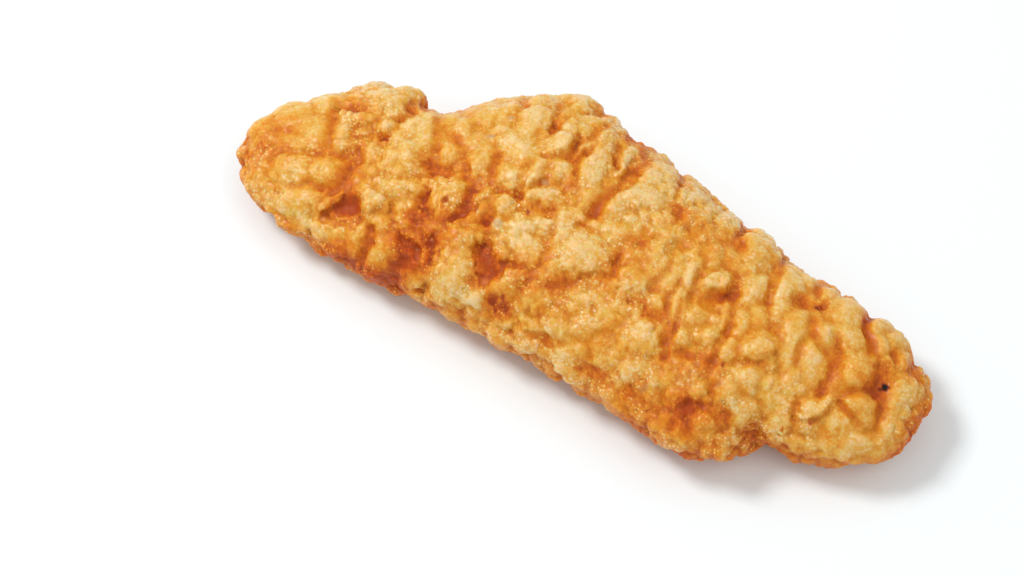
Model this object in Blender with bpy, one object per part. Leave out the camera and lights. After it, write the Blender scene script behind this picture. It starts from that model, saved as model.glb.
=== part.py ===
"""A breaded chicken tender, fried, lying on its flatter side.

The tender is one solid. A sphere is drawn out along +X into the plump, slightly bent form of the
meat, and then the crust is raised on it: lumps and creases where the batter ran and puffed up, and
smaller blisters all over that follow a seeded rule. Sizes are in millimetres, with +Z up, until the
points are written to the mesh in metres. The origin is on the table, under the middle.
"""

import math

import bmesh
import bpy
import numpy as np

MM = 0.001
LEFT_TIP, RIGHT_TIP = -63.5, 61.2
LEFT_BLUNTNESS, RIGHT_BLUNTNESS = 4.6, 6.0
RINGS = 86
SIDES = 68
TOP_FULLNESS = 2.3
UNDER_FULLNESS = 2.7
LEAN_TO_FAR_SIDE = 0.16
UNDERSIDE_LIFT = 0.9

# The form before the crust: x, far edge, near edge, height of the widest line, crown above it
STATIONS = np.array((
    (-62.0, 18.0, -10.0, 7.5, 7.2),
    (-54.0, 19.6, -10.6, 7.8, 7.8),
    (-46.0, 21.8, -10.6, 8.0, 8.2),
    (-39.0, 22.2, -11.5, 8.2, 8.6),
    (-34.0, 20.4, -12.0, 8.4, 8.9),
    (-29.0, 22.0, -12.5, 8.5, 9.4),
    (-22.0, 26.8, -12.8, 8.8, 10.2),
    (-14.0, 29.6, -14.6, 9.0, 11.0),
    (-6.0, 28.4, -16.0, 9.0, 11.2),
    (2.0, 25.2, -17.6, 8.8, 11.2),
    (10.0, 22.4, -19.2, 8.6, 10.9),
    (18.0, 19.0, -21.2, 8.4, 10.5),
    (26.0, 16.4, -23.2, 8.0, 10.1),
    (31.0, 14.4, -22.4, 7.8, 9.8),
    (37.0, 12.4, -18.0, 7.8, 9.6),
    (43.0, 11.4, -17.8, 7.8, 9.5),
    (50.0, 11.2, -18.8, 7.6, 9.1),
    (58.0, 11.0, -19.6, 7.4, 8.5),
    (62.0, 11.0, -19.6, 7.4, 8.2),
))

# Lumps of crust on the upper side: x, y, half length along x, half width, turn in degrees, height
LUMPS = (
    (-60.0, 8.5, 3.2, 2.6, 60, 1.0),
    (-56.0, 12.5, 4.4, 3.0, 40, 1.3),
    (-51.5, 15.5, 4.2, 2.8, 25, 1.3),
    (-53.0, 6.5, 3.6, 3.2, 0, 0.9),
    (-60.5, -1.0, 2.6, 3.6, 0, 1.0),
    (-48.0, 21.0, 2.4, 2.2, 0, 3.4),
    (-42.8, 18.0, 3.6, 2.5, 10, 2.0),
    (-39.3, 20.3, 2.6, 2.5, 0, 2.6),
    (-45.2, 10.8, 2.6, 1.8, 15, 1.5),
    (-46.8, 6.3, 1.5, 3.2, 0, 1.3),
    (-47.2, -0.3, 3.2, 2.0, -10, 1.4),
    (-49.0, -5.0, 4.6, 1.8, 8, 1.3),
    (-43.4, -4.3, 1.8, 0.9, 30, 1.6),
    (-36.2, -3.8, 2.7, 1.0, 52, 1.7),
    (-35.2, 13.0, 2.0, 3.2, -15, 1.4),
    (-34.6, 6.0, 2.8, 3.0, 0, 2.0),
    (-33.2, 0.4, 4.4, 1.5, 5, 1.5),
    (-43.5, -8.6, 4.6, 1.2, -8, 1.2),
    (-24.6, 1.4, 1.9, 3.2, 12, 2.4),
    (-18.8, 1.4, 1.1, 2.6, 10, 1.6),
    (-19.6, -7.6, 3.0, 4.8, 8, 3.0),
    (-14.4, -12.4, 2.0, 2.5, 0, 2.0),
    (-13.4, -4.4, 1.7, 1.9, 0, 1.4),
    (-9.2, -9.2, 3.2, 1.6, 38, 1.8),
    (-4.0, -10.5, 2.3, 1.6, 20, 1.7),
    (-20.0, 20.0, 2.6, 5.0, 0, 0.9),
    (-15.5, 17.0, 3.0, 5.0, 0, 1.2),
    (-10.3, 17.2, 2.4, 3.4, -20, 1.8),
    (-2.6, 17.0, 1.9, 7.5, -3, 1.5),
    (-11.0, 28.0, 3.2, 2.4, 20, 2.4),
    (6.3, 23.4, 2.0, 2.4, 0, 3.0),
    (13.4, 21.8, 2.4, 2.4, 0, 3.4),
    (7.5, 12.5, 3.6, 5.0, 20, 1.5),
    (0.0, -3.0, 4.6, 3.2, 10, 1.5),
    (22.8, 1.8, 2.6, 1.2, 35, 1.9),
    (23.2, -7.2, 3.5, 3.8, 0, 2.0),
    (15.2, -10.8, 3.8, 2.8, 10, 1.6),
    (27.0, 12.0, 2.1, 4.0, 12, 2.0),
    (29.0, -21.0, 2.2, 2.6, -30, 1.4),
    (25.0, -24.0, 4.0, 2.0, -12, 2.2),
    (31.0, -22.6, 2.8, 2.4, 0, 2.8),
    (33.6, 5.2, 2.2, 3.0, 0, 1.5),
    (38.0, -3.0, 1.7, 3.4, 5, 1.5),
    (36.9, -12.4, 1.9, 2.8, 0, 1.7),
    (32.5, -7.0, 2.8, 1.6, 35, 1.5),
    (44.4, 6.0, 2.3, 4.6, 4, 1.5),
    (42.3, -0.4, 1.6, 3.4, 18, 1.4),
    (53.4, 4.0, 2.2, 4.6, 8, 2.0),
    (48.3, -5.0, 1.9, 3.2, -15, 1.9),
    (51.3, -8.8, 2.8, 1.7, -20, 1.5),
    (57.0, -4.0, 2.6, 3.4, 0, 1.3),
    (43.4, -12.2, 1.3, 3.0, -38, 1.7),
    (51.5, -14.8, 4.8, 1.6, 12, 1.7),
)

# Creases and pits between them: from x, y to x, y, half width, depth
CREASES = (
    (-49.5, 13.2, -45.5, 13.4, 0.9, 1.5),
    (-54.0, 2.4, -44.5, 3.2, 0.7, 0.8),
    (-43.6, 8.0, -41.8, 3.0, 1.0, 1.0),
    (-42.0, -5.7, -39.2, -5.6, 1.4, 2.6),
    (-36.0, 23.0, -35.4, 15.0, 1.0, 1.8),
    (-32.0, 4.5, -20.5, 4.8, 0.9, 1.2),
    (-28.0, -2.5, -26.5, -9.5, 1.6, 1.5),
    (-21.7, 3.0, -21.5, -2.2, 1.0, 1.5),
    (-14.9, -7.0, -13.2, -9.8, 1.5, 2.6),
    (-11.5, -12.6, -8.5, -13.0, 0.8, 1.6),
    (-8.8, 13.8, -6.8, 18.2, 0.7, 1.6),
    (-5.0, 22.5, -6.2, 8.5, 0.6, 1.2),
    (-0.6, 21.0, -0.4, 4.0, 0.8, 1.7),
    (3.4, 18.0, 1.0, 13.0, 1.0, 1.5),
    (-1.5, -7.2, 4.5, -5.0, 0.6, 1.2),
    (21.5, -2.2, 26.5, 1.0, 1.0, 1.7),
    (16.2, -4.0, 19.8, -13.0, 0.7, 1.7),
    (26.9, -2.0, 27.2, -12.0, 0.7, 1.6),
    (20.5, -12.4, 27.0, -12.4, 0.6, 1.1),
    (31.0, 9.0, 32.0, 0.5, 0.7, 1.5),
    (25.0, -19.8, 27.0, -21.2, 1.6, 2.6),
    (35.2, -5.5, 32.5, -9.2, 0.6, 1.2),
    (36.4, 4.0, 38.8, 3.8, 1.2, 1.8),
    (44.0, 0.5, 46.4, -8.0, 0.7, 1.5),
    (47.4, 9.5, 50.6, -0.5, 0.7, 1.7),
    (52.4, -1.8, 51.0, -6.0, 1.2, 2.0),
    (51.0, -6.0, 46.5, -10.5, 0.7, 1.5),
    (42.0, -12.5, 43.0, -16.0, 0.6, 1.3),
    (36.4, -17.0, 37.4, -22.0, 1.4, 2.0),
    (56.5, 3.5, 58.0, 0.0, 1.0, 1.4),
)

# Where the underside rests on the table: x, y, half width of the flat
PADS = ((-42.0, 4.0, 7.0), (-12.0, 8.0, 8.0), (8.0, -8.0, 8.0), (42.0, -5.0, 7.0))

# The blisters: cell across, height, seed, and how much longer than wide they are in the ridged half
LARGE_BLISTERS = (6.6, 1.5, 11, 2.0)
SMALL_BLISTERS = (4.2, 0.7, 23, 2.2)
RIDGED_FROM, RIDGED_TO = 2.0, 14.0
WARP_SIZE, WARP_REACH = 9.0, 1.6
NARROWEST_LUMP, NARROWEST_CREASE = 2.2, 1.9
DEEPEST_CREASE = 1.7

CRUST_COLOUR = (0.62, 0.30, 0.075, 1.0)
CRUST_ROUGHNESS = 0.5


def clear_scene():
    for obj in list(bpy.data.objects):
        bpy.data.objects.remove(obj, do_unlink=True)


def smooth_step(value, low, high):
    share = np.clip((value - low) / (high - low), 0, 1)
    return share * share * (3 - 2 * share)


def through_stations(column, x):
    """Smooth curve through one column of the stations (cubic Hermite, slopes from the neighbours)."""
    places, values = STATIONS[:, 0], STATIONS[:, column]
    slopes = np.gradient(values, places)
    left = np.clip(np.searchsorted(places, x) - 1, 0, len(places) - 2)
    span = places[left + 1] - places[left]
    t = np.clip((x - places[left]) / span, 0, 1)
    return (
        (1 + 2 * t) * (1 - t) ** 2 * values[left]
        + t * (1 - t) ** 2 * span * slopes[left]
        + t * t * (3 - 2 * t) * values[left + 1]
        + t * t * (t - 1) * span * slopes[left + 1]
    )


def end_cap(x):
    """1 over the middle, falling to 0 at both tips along a superellipse."""
    reach = np.where(x < 0, x / LEFT_TIP, x / RIGHT_TIP)
    bluntness = np.where(x < 0, LEFT_BLUNTNESS, RIGHT_BLUNTNESS)
    return np.sqrt(np.clip(1 - np.clip(reach, 0, 1) ** bluntness, 0, 1))


def plump_form(share, around):
    """The form before the crust. share runs from 0 to 1 along it, around is the angle from the far
    edge over the top. Each section is a superellipse between the two edges, flatter below."""
    x = LEFT_TIP + share * (RIGHT_TIP - LEFT_TIP)
    cap = end_cap(x)
    far, near, widest, crown = (through_stations(column, x) for column in (1, 2, 3, 4))
    c, s = np.cos(around), np.sin(around)
    fullness = np.where(s >= 0, TOP_FULLNESS, UNDER_FULLNESS)
    across = np.sign(c) * np.abs(c) ** (2 / fullness)
    rise = np.sign(s) * np.abs(s) ** (2 / fullness)
    upper = crown * (1 + LEAN_TO_FAR_SIDE * across)
    lower = widest - UNDERSIDE_LIFT
    y = (far + near) / 2 + (far - near) / 2 * cap * across
    z = widest + np.where(s >= 0, upper, lower) * rise * cap
    return np.stack([x, y, z], axis=-1)


def top_height(x, y):
    """Height of the form's upper side over a point of the plan."""
    far, near, widest, crown = (through_stations(column, x) for column in (1, 2, 3, 4))
    cap = np.maximum(end_cap(x), 0.05)
    across = np.clip((y - (far + near) / 2) / ((far - near) / 2 * cap), -1, 1)
    dome = (1 - np.abs(across) ** TOP_FULLNESS) ** (1 / TOP_FULLNESS)
    return widest + crown * (1 + LEAN_TO_FAR_SIDE * across) * cap * dome


def even_places(count, curve):
    """Parameter values that cut a curve into steps of equal length."""
    values = np.linspace(0, 1, 4001)
    steps = np.linalg.norm(np.diff(curve(values), axis=0), axis=1)
    length = np.concatenate([[0], np.cumsum(steps)])
    return np.interp(np.linspace(0, length[-1], count + 1), length, values)


def hashed(cells, seed):
    """A repeatable random number from 0 to 1 for each whole-number cell."""
    word = np.uint64(0xFFFFFFFF)
    i = cells.astype(np.int64).astype(np.uint64)
    mixed = i[..., 0] * np.uint64(73856093) ^ i[..., 1] * np.uint64(19349663)
    mixed = (mixed ^ i[..., 2] * np.uint64(83492791) ^ np.uint64(seed * 7919)) & word
    for shift, factor in ((15, 0x2C1B3C6D), (12, 0x297A2D39)):
        mixed = ((mixed ^ mixed >> np.uint64(shift)) * np.uint64(factor)) & word
    return (mixed ^ mixed >> np.uint64(15)).astype(float) / float(word)


def cell_corners(low, high):
    grid = np.arange(low, high + 1)
    return np.stack(np.meshgrid(grid, grid, grid, indexing="ij"), axis=-1).reshape(-1, 3)


def smooth_noise(points, size, seed):
    """Random values at the corners of cells, blended between them. About -1 to 1."""
    scaled = points / size
    cell = np.floor(scaled)
    t = scaled - cell
    t = t * t * (3 - 2 * t)
    total = np.zeros(points.shape[:-1])
    for corner in cell_corners(0, 1):
        weight = np.prod(np.where(corner, t, 1 - t), axis=-1)
        total += weight * hashed(cell + corner, seed)
    return 2 * total - 1


def blisters(points, size, seed):
    """Rounded domes packed side by side: one in each cell, moved and sized at random. The highest
    dome over a point counts, so that sharp creases are left between them. From 0 to 1."""
    scaled = points / size
    cell = np.floor(scaled)
    highest = np.zeros(points.shape[:-1])
    for corner in cell_corners(-1, 1):
        near = cell + corner
        moved = [0.5 + 0.7 * (hashed(near, seed + axis) - 0.5) for axis in range(3)]
        gap = scaled - near - np.stack(moved, axis=-1)
        radius = 0.55 + 0.4 * hashed(near, seed + 3)
        dome = np.clip(1 - np.sum(gap * gap, axis=-1) / radius**2, 0, 1) 
        highest = np.maximum(highest, dome * (0.55 + 0.45 * hashed(near, seed + 4)))
    return highest


def warped(points):
    """Points pushed about by slow noise, so that nothing that is drawn on them stays regular."""
    push = [smooth_noise(points, WARP_SIZE, seed) for seed in (91, 92, 93)]
    return points + WARP_REACH * np.stack(push, axis=-1)


def blistered(points, size, height, seed, longer):
    """Round blisters over one half of the tender, and long ones lying across it on the other."""
    ridged = smooth_step(points[..., 0], RIDGED_FROM, RIDGED_TO)
    squeezed = points * np.array((1.25, 1 / longer, 1.0))
    round_ones = blisters(points, size, seed)
    long_ones = blisters(squeezed, size, seed + 7)
    return height * (round_ones * (1 - ridged) + long_ones * ridged)


def lump_relief(points, facing_up):
    """The lumps, each a dome on an ellipse. It counts where the surface faces up or out."""
    highest = np.zeros(points.shape[:-1])
    for x, y, along, across, turn, height in LUMPS:
        centre = np.array((x, y, top_height(np.array(x), np.array(y))))
        gap = points - centre
        c, s = math.cos(math.radians(turn)), math.sin(math.radians(turn))
        a = (gap[..., 0] * c + gap[..., 1] * s) / max(along, NARROWEST_LUMP)
        b = (gap[..., 1] * c - gap[..., 0] * s) / max(across, NARROWEST_LUMP)
        deep = gap[..., 2] / (2.2 * max(along, across))
        dome = np.clip(1 - (a * a + b * b + deep * deep) / 1.7, 0, 1) ** 1.3
        highest = np.maximum(highest, height * dome)
    return highest * facing_up


def crease_relief(points, facing_up):
    """How deep the creases and pits are under each point."""
    deepest = np.zeros(points.shape[:-1])
    for x1, y1, x2, y2, half_width, depth in CREASES:
        start, run = np.array((x1, y1)), np.array((x2 - x1, y2 - y1))
        gap = points[..., :2] - start
        share = np.clip(gap @ run / (run @ run), 0, 1)
        away = np.linalg.norm(gap - share[..., None] * run, axis=-1)
        valley = np.clip(1 - (away / (1.6 * max(half_width, NARROWEST_CREASE))) ** 2, 0, 1)
        deepest = np.maximum(deepest, min(depth, DEEPEST_CREASE) * valley**2)
    return deepest * facing_up


def pad_relief(points, facing_down):
    """Broad swellings of the underside that reach the table."""
    highest = np.zeros(points.shape[:-1])
    for x, y, half_width in PADS:
        away = np.hypot(points[..., 0] - x, points[..., 1] - y)
        highest = np.maximum(highest, 2.4 * np.clip(1 - (away / half_width) ** 2, 0, 1))
    return highest * facing_down


def crust_height(points, normals):
    """How far the crust stands out from the form at each point."""
    facing_up = smooth_step(normals[..., 2], -0.35, 0.15)
    facing_down = smooth_step(-normals[..., 2], 0.2, 0.8)
    pushed = warped(points)
    rough = blistered(pushed, *LARGE_BLISTERS) + blistered(pushed, *SMALL_BLISTERS)
    lumps = lump_relief(points, facing_up)
    raised = np.maximum(rough * (1 - 0.45 * np.clip(lumps, 0, 1)), lumps)
    pads = pad_relief(points, facing_down)
    return np.maximum(raised, pads) - crease_relief(points, facing_up)


def normals_of(grid):
    """Outward directions on a grid of points, from the differences along and around it."""
    along = np.gradient(grid, axis=0)
    around = np.roll(grid, -1, axis=1) - np.roll(grid, 1, axis=1)
    normal = np.cross(around, along)
    return normal / np.maximum(np.linalg.norm(normal, axis=-1, keepdims=True), 1e-9)


def crusted_grid():
    """Rings of points on the finished surface, tip to tip, and resting flat on the table."""
    ridge_top, half_way = math.pi / 2, 0.5
    tip_to_tip = even_places(RINGS, lambda t: plump_form(t, np.full_like(t, ridge_top)))
    once_round = even_places(SIDES, lambda t: plump_form(half_way + 0 * t, 2 * math.pi * t))
    share, around = np.meshgrid(tip_to_tip, 2 * math.pi * once_round[:-1], indexing="ij")
    form = plump_form(share, around)
    normals = normals_of(form)
    normals[0], normals[-1] = (-1, 0, 0), (1, 0, 0)
    grid = form + normals * crust_height(form, normals)[..., None]
    grid[..., 2] = np.maximum(grid[..., 2], 0)
    return grid


def over_the_origin(points):
    """The points moved so that the middle of their box is over the origin."""
    middle = (points.min(axis=(0, 1)) + points.max(axis=(0, 1))) / 2
    return points - middle * np.array((1, 1, 0))


def crust_material():
    material = bpy.data.materials.new("fried_crust")
    material.use_nodes = True
    shader = material.node_tree.nodes["Principled BSDF"]
    shader.inputs["Base Color"].default_value = CRUST_COLOUR
    shader.inputs["Roughness"].default_value = CRUST_ROUGHNESS
    return material


def build_tender(collection):
    """A sphere whose poles lie at the tips, with each of its circles moved to a ring of the crust."""
    ball = bmesh.new()
    bmesh.ops.create_uvsphere(ball, u_segments=SIDES, v_segments=RINGS, radius=1.0)
    sphere = np.array([vertex.co for vertex in ball.verts])
    ring = np.rint(np.arccos(np.clip(-sphere[:, 2], -1, 1)) / math.pi * RINGS).astype(int)
    side = np.rint(np.arctan2(sphere[:, 1], sphere[:, 0]) / (2 * math.pi) * SIDES).astype(int)
    places = over_the_origin(crusted_grid())[ring, side % SIDES]
    for vertex, place in zip(ball.verts, places * MM):
        vertex.co = place
    mesh = bpy.data.meshes.new("tender")
    ball.to_mesh(mesh)
    ball.free()
    mesh.shade_smooth()
    mesh.materials.append(crust_material())
    tender = bpy.data.objects.new("tender", mesh)
    collection.objects.link(tender)
    return tender


def main():
    clear_scene()
    collection = bpy.data.collections.new("chicken_tender")
    bpy.context.scene.collection.children.link(collection)
    build_tender(collection)


if __name__ == "__main__":
    main()
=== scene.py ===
# %% [markdown]
# # A fried chicken tender
#
# A tender is the long inner muscle of a chicken breast, dipped in batter and flour and deep fried.
# The batter puffs into lumps, runs into ridges and tears into flakes, and the oil browns it from the
# creases outwards. This notebook dresses the plain model of the tender with that crust, worked out
# with numpy, and then colours it, with painted shade in its hollows and creases, lights it and aims
# a camera at it.
#
# Sizes are in millimetres while the shape is worked out, and in metres once they reach a mesh.

# %% Frame
import math

import bpy
import numpy as np
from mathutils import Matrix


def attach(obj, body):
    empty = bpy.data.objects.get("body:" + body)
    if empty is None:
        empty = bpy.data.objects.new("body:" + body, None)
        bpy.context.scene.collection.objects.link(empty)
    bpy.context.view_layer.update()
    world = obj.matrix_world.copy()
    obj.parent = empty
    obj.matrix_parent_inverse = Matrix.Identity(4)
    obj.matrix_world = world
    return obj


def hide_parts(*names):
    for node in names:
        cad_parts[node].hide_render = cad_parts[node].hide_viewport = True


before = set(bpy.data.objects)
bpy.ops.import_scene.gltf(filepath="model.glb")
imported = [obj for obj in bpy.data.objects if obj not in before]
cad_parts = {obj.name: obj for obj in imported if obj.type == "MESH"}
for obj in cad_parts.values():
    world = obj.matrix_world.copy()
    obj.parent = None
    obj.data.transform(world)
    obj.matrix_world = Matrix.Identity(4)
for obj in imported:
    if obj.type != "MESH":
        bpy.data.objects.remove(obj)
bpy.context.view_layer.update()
MM = 0.001
print("nodes in the frame:", list(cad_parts))

# %% [markdown]
# ## The form before the crust
#
# Seen from above, a tender is a long shape with two blunt ends and edges that wander in and out.
# It could be sculpted, or built from a subdivided box. Here it is a loft: for each place along X a
# table gives the far edge, the near edge, the height of the widest line and the height of the crown
# above it. A smooth curve through the table makes every section between, so one row of numbers moves
# one part of the outline and nothing else.

# %% Stations
LEFT_TIP, RIGHT_TIP = -63.5, 61.2
LEFT_BLUNTNESS, RIGHT_BLUNTNESS = 4.6, 6.0
TOP_FULLNESS = 2.3
UNDER_FULLNESS = 2.7
LEAN_TO_FAR_SIDE = 0.16
UNDERSIDE_LIFT = 0.9
MIDDLE_X, MIDDLE_Y = -1.1, 3.1

STATIONS = np.array((
    (-62.0, 18.0, -10.0, 7.5, 7.2),
    (-54.0, 19.6, -10.6, 7.8, 7.8),
    (-46.0, 21.8, -10.6, 8.0, 8.2),
    (-39.0, 22.2, -11.5, 8.2, 8.6),
    (-34.0, 20.4, -12.0, 8.4, 8.9),
    (-29.0, 22.0, -12.5, 8.5, 9.4),
    (-22.0, 26.8, -12.8, 8.8, 10.2),
    (-14.0, 29.6, -14.6, 9.0, 11.0),
    (-6.0, 28.4, -16.0, 9.0, 11.2),
    (2.0, 25.2, -17.6, 8.8, 11.2),
    (10.0, 22.4, -19.2, 8.6, 10.9),
    (18.0, 19.0, -21.2, 8.4, 10.5),
    (26.0, 16.4, -23.2, 8.0, 10.1),
    (31.0, 14.4, -22.4, 7.8, 9.8),
    (37.0, 12.4, -18.0, 7.8, 9.6),
    (43.0, 11.4, -17.8, 7.8, 9.5),
    (50.0, 11.2, -18.8, 7.6, 9.1),
    (58.0, 11.0, -19.6, 7.4, 8.5),
    (62.0, 11.0, -19.6, 7.4, 8.2),
))


def through_stations(column, x):
    """Smooth curve through one column of the stations (cubic Hermite, slopes from the neighbours)."""
    places, values = STATIONS[:, 0], STATIONS[:, column]
    slopes = np.gradient(values, places)
    left = np.clip(np.searchsorted(places, x) - 1, 0, len(places) - 2)
    span = places[left + 1] - places[left]
    t = np.clip((x - places[left]) / span, 0, 1)
    return (
        (1 + 2 * t) * (1 - t) ** 2 * values[left]
        + t * (1 - t) ** 2 * span * slopes[left]
        + t * t * (3 - 2 * t) * values[left + 1]
        + t * t * (t - 1) * span * slopes[left + 1]
    )


def end_cap(x):
    """1 over the middle, falling to 0 at both tips along a superellipse."""
    reach = np.where(x < 0, x / LEFT_TIP, x / RIGHT_TIP)
    bluntness = np.where(x < 0, LEFT_BLUNTNESS, RIGHT_BLUNTNESS)
    return np.sqrt(np.clip(1 - np.clip(reach, 0, 1) ** bluntness, 0, 1))


def plump_form(share, around):
    """The form before the crust. share runs from 0 to 1 along it, around is the angle from the far
    edge over the top. Each section is a superellipse between the two edges, flatter below."""
    x = LEFT_TIP + share * (RIGHT_TIP - LEFT_TIP)
    cap = end_cap(x)
    far, near, widest, crown = (through_stations(column, x) for column in (1, 2, 3, 4))
    c, s = np.cos(around), np.sin(around)
    fullness = np.where(s >= 0, TOP_FULLNESS, UNDER_FULLNESS)
    across = np.sign(c) * np.abs(c) ** (2 / fullness)
    rise = np.sign(s) * np.abs(s) ** (2 / fullness)
    upper = crown * (1 + LEAN_TO_FAR_SIDE * across)
    lower = widest - UNDERSIDE_LIFT
    y = (far + near) / 2 + (far - near) / 2 * cap * across
    z = widest + np.where(s >= 0, upper, lower) * rise * cap
    return np.stack([x, y, z], axis=-1)


print("length of the form:", RIGHT_TIP - LEFT_TIP, "mm")

# %% [markdown]
# ## The grid
#
# The whole surface is one sheet of rings and sides, closed at the two tips. Its points are spread by
# length along the surface, three quarters of them on the shown side, so that the crust there can
# carry features of less than a millimetre. A subdivided box would have no poles at the tips, but its
# points couldn't be crowded where they are needed.

# %% Grid
RINGS = 420
SIDES = 232
UNDERSIDE_SPACING = 3.0
SHOWN_ABOVE = 4.5


def smooth_step(value, low, high):
    """0 below low, 1 above high, and a smooth slope between."""
    share = np.clip((value - low) / (high - low), 0, 1)
    return share * share * (3 - 2 * share)


def spread(count, curve, weight):
    """Parameter values that cut a curve into steps of equal weighted length."""
    values = np.linspace(0, 1, 8001)
    points = curve(values)
    steps = np.linalg.norm(np.diff(points, axis=0), axis=1)
    steps *= weight((points[1:] + points[:-1]) / 2)
    length = np.concatenate([[0], np.cumsum(steps)])
    return np.interp(np.linspace(0, length[-1], count + 1), length, values)


def finer_where_shown(points):
    """Weight of each step round a section: whole on the shown side, a third on the underside."""
    return np.where(points[:, 2] > SHOWN_ABOVE, 1.0, 1 / UNDERSIDE_SPACING)


def form_grid():
    """Points of the plain form, ring by ring from tip to tip."""
    along = spread(RINGS, lambda t: plump_form(t, np.full_like(t, math.pi / 2)), lambda p: 1.0)
    round_it = spread(SIDES, lambda t: plump_form(0.5 + 0 * t, 2 * math.pi * t), finer_where_shown)
    share, around = np.meshgrid(along, 2 * math.pi * round_it[:-1], indexing="ij")
    return plump_form(share, around)


def normals_of(grid):
    """Outward directions on a grid of points, from the differences along and around it."""
    along = np.gradient(grid, axis=0)
    around = np.roll(grid, -1, axis=1) - np.roll(grid, 1, axis=1)
    normal = np.cross(around, along)
    normal /= np.maximum(np.linalg.norm(normal, axis=-1, keepdims=True), 1e-9)
    normal[0], normal[-1] = (-1, 0, 0), (1, 0, 0)
    return normal


def blurred(values, steps):
    """Values on the grid averaged with their neighbours a number of times."""
    result = values.astype(float)
    for _ in range(steps):
        result[1:-1] = (result[:-2] + 2 * result[1:-1] + result[2:]) / 4
        result = (np.roll(result, 1, 1) + 2 * result + np.roll(result, -1, 1)) / 4
    return result


form = form_grid()
print("grid:", form.shape, "triangles:", 2 * RINGS * SIDES)

# %% [markdown]
# ## Random crust that comes out the same every time
#
# Fried batter has no pattern, but it isn't noise either: it is made of puffed domes that crowd each
# other, with sharp creases where two of them meet. Space is cut into cells, a whole-number hash gives
# each cell its own dome, and over any point the highest dome counts. Domes of several sizes, each
# raised on the last, give lumps with smaller lumps on them.

# %% Hashed cells
def hashed(cells, seed):
    """A repeatable random number from 0 to 1 for each whole-number cell."""
    word = np.uint64(0xFFFFFFFF)
    i = cells.astype(np.int64).astype(np.uint64)
    mixed = i[..., 0] * np.uint64(73856093) ^ i[..., 1] * np.uint64(19349663)
    mixed = (mixed ^ i[..., 2] * np.uint64(83492791) ^ np.uint64(seed * 7919)) & word
    for shift, factor in ((15, 0x2C1B3C6D), (12, 0x297A2D39)):
        mixed = ((mixed ^ mixed >> np.uint64(shift)) * np.uint64(factor)) & word
    return (mixed ^ mixed >> np.uint64(15)).astype(float) / float(word)


def cell_corners(low, high):
    """Whole-number steps to the cells round a cell."""
    steps = np.arange(low, high + 1)
    return np.stack(np.meshgrid(steps, steps, steps, indexing="ij"), axis=-1).reshape(-1, 3)


def smooth_noise(points, size, seed):
    """Random values at the corners of cells, blended between them. About -1 to 1."""
    scaled = points / size
    cell = np.floor(scaled)
    t = scaled - cell
    t = t * t * (3 - 2 * t)
    total = np.zeros(points.shape[:-1])
    for corner in cell_corners(0, 1):
        weight = np.prod(np.where(corner, t, 1 - t), axis=-1)
        total += weight * hashed(cell + corner, seed)
    return 2 * total - 1


def blisters(points, size, seed, roundness=1.0):
    """Rounded domes packed side by side: one in each cell, moved and sized at random. The highest
    dome over a point counts, so that sharp creases are left between them. From 0 to 1."""
    scaled = points / size
    cell = np.floor(scaled)
    highest = np.zeros(points.shape[:-1])
    for corner in cell_corners(-1, 1):
        near = cell + corner
        moved = [0.5 + 0.7 * (hashed(near, seed + axis) - 0.5) for axis in range(3)]
        gap = scaled - near - np.stack(moved, axis=-1)
        radius = 0.55 + 0.4 * hashed(near, seed + 3)
        dome = np.clip(1 - np.sum(gap * gap, axis=-1) / radius**2, 0, 1) ** roundness
        highest = np.maximum(highest, dome * (0.55 + 0.45 * hashed(near, seed + 4)))
    return highest
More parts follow.
